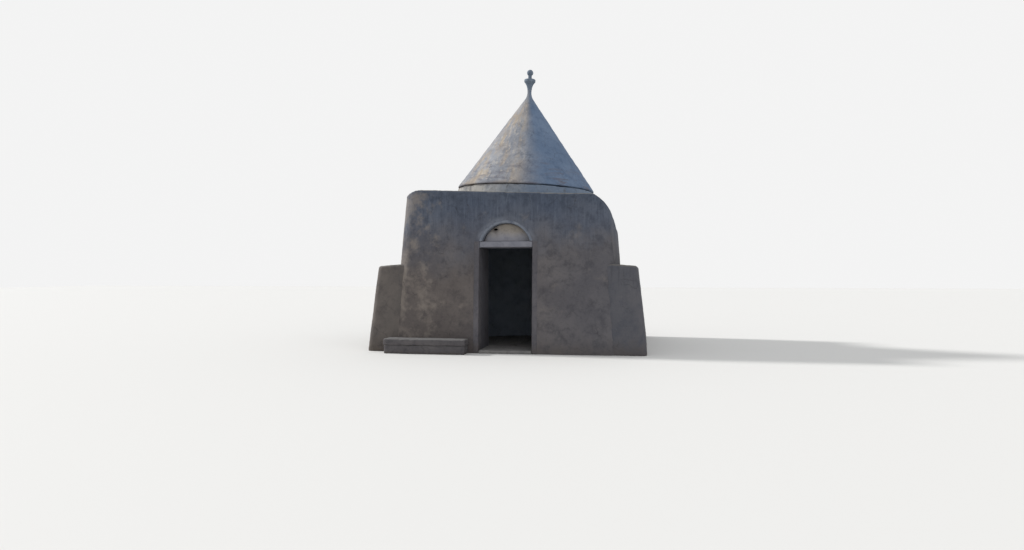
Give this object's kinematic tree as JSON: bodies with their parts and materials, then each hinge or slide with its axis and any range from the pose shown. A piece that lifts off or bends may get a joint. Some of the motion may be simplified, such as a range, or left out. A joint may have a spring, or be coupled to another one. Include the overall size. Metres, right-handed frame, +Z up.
{
  "type": "trullo house",
  "caption": "Small plastered stone trullo: battered rounded-square walls, arched door niche, side ledges, bench, corbelled dome under a leaning cone with a ball pinnacle.",
  "frame": {"origin": "on the ground under the axis of the round room and of the door, on the floor's underside", "axes": "+Z up, -Y out of the door, +X to the right seen from the front"},
  "size_m": [5.28, 4.67, 5.805],
  "materials": {
    "wall_plaster": "weathered grey-brown render over rubble stone, mottled with dark patina",
    "ledge_plaster": "weathered grey-brown render, worn at the edges",
    "surround_plaster": "smoother, paler grey render round the door",
    "lunette_plaster": "pale cream lime plaster, sheltered and less stained",
    "bench_stone": "worn limestone slab and low stone courses",
    "terrace_plaster": "rain-washed lime screed with dark lichen",
    "band_plaster": "pale, rain-washed render",
    "cone_plaster": "grey render with ochre and dark lichen, streaked by rain",
    "pinnacle_stone": "carved limestone, dark with lichen",
    "dome_stone": "dry-laid limestone courses, smoke-darkened",
    "floor_stone": "worn limestone flags, dusty"
  },
  "bodies": {
    "root": {"back_wall_left": "wall_plaster", "back_wall_right": "wall_plaster", "bench_base": "bench_stone", "bench_seat": "bench_stone", "cone_lower": "cone_plaster", "cone_middle": "cone_plaster", "cone_tip": "cone_plaster", "cone_upper": "cone_plaster", "dome_capstone": "dome_stone", "dome_ring_1": "dome_stone", "dome_ring_10": "dome_stone", "dome_ring_2": "dome_stone", "dome_ring_3": "dome_stone", "dome_ring_4": "dome_stone", "dome_ring_5": "dome_stone", "dome_ring_6": "dome_stone", "dome_ring_7": "dome_stone", "dome_ring_8": "dome_stone", "dome_ring_9": "dome_stone", "door_arch": "surround_plaster", "door_jamb_left": "surround_plaster", "door_jamb_right": "surround_plaster", "door_lintel": "surround_plaster", "door_threshold": "floor_stone", "eave_band": "band_plaster", "front_wall_left": "wall_plaster", "front_wall_over_door": "wall_plaster", "front_wall_right": "wall_plaster", "left_ledge": "ledge_plaster", "left_wall_front": "wall_plaster", "left_wall_rear": "wall_plaster", "lunette_panel": "lunette_plaster", "pinnacle_ball": "pinnacle_stone", "pinnacle_cup": "pinnacle_stone", "right_ledge": "ledge_plaster", "right_wall_front": "wall_plaster", "right_wall_rear": "wall_plaster", "roof_terrace": "terrace_plaster", "room_floor": "floor_stone"}
  },
  "joints": []
}
